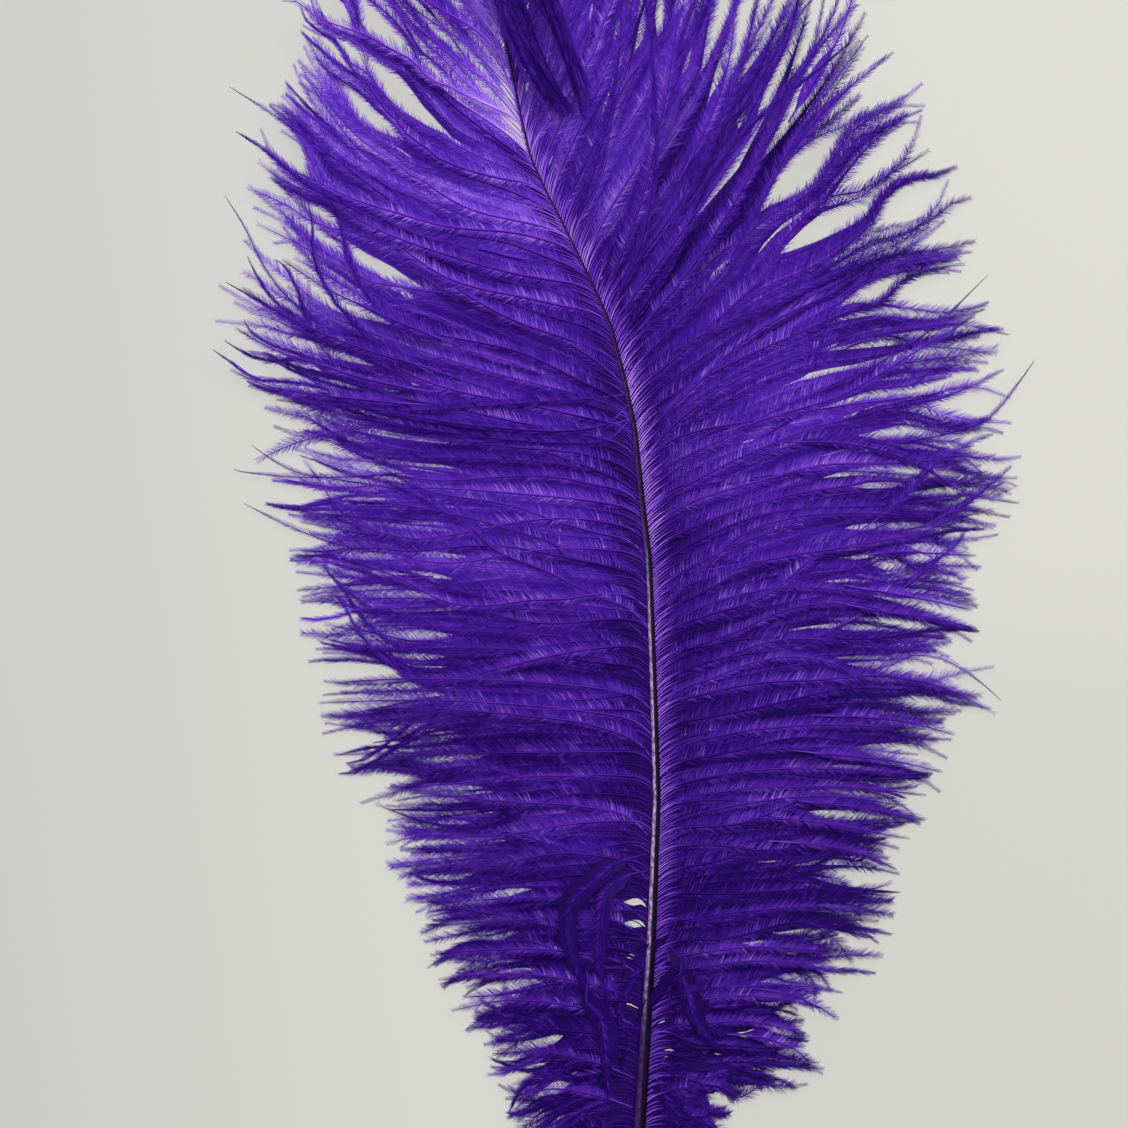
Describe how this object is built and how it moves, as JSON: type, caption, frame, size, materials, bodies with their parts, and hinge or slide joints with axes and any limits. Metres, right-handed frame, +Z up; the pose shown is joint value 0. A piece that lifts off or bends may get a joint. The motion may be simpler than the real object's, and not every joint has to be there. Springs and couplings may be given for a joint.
{
  "type": "dyed ostrich feather",
  "caption": "Full violet-dyed ostrich plume lying flat: bare quill, thin curved shaft and two broad, loose vanes of fringed locks that curl over at the tip.",
  "frame": {"origin": "on the table under the middle of the plume's bounding box", "axes": "+Y from the quill's cut end towards the plume's tip, +X to the right seen from above, +Z up from the table"},
  "size_m": [0.1975, 0.3782, 0.0317],
  "materials": {
    "dyed_barbs": "soft dyed violet barbs, matt with a faint silky sheen",
    "shaft": "smooth horny shaft dyed dark violet, paler and glossy on its ridge"
  },
  "bodies": {
    "root": {"ostrich_feather": "dyed_barbs"}
  },
  "joints": []
}
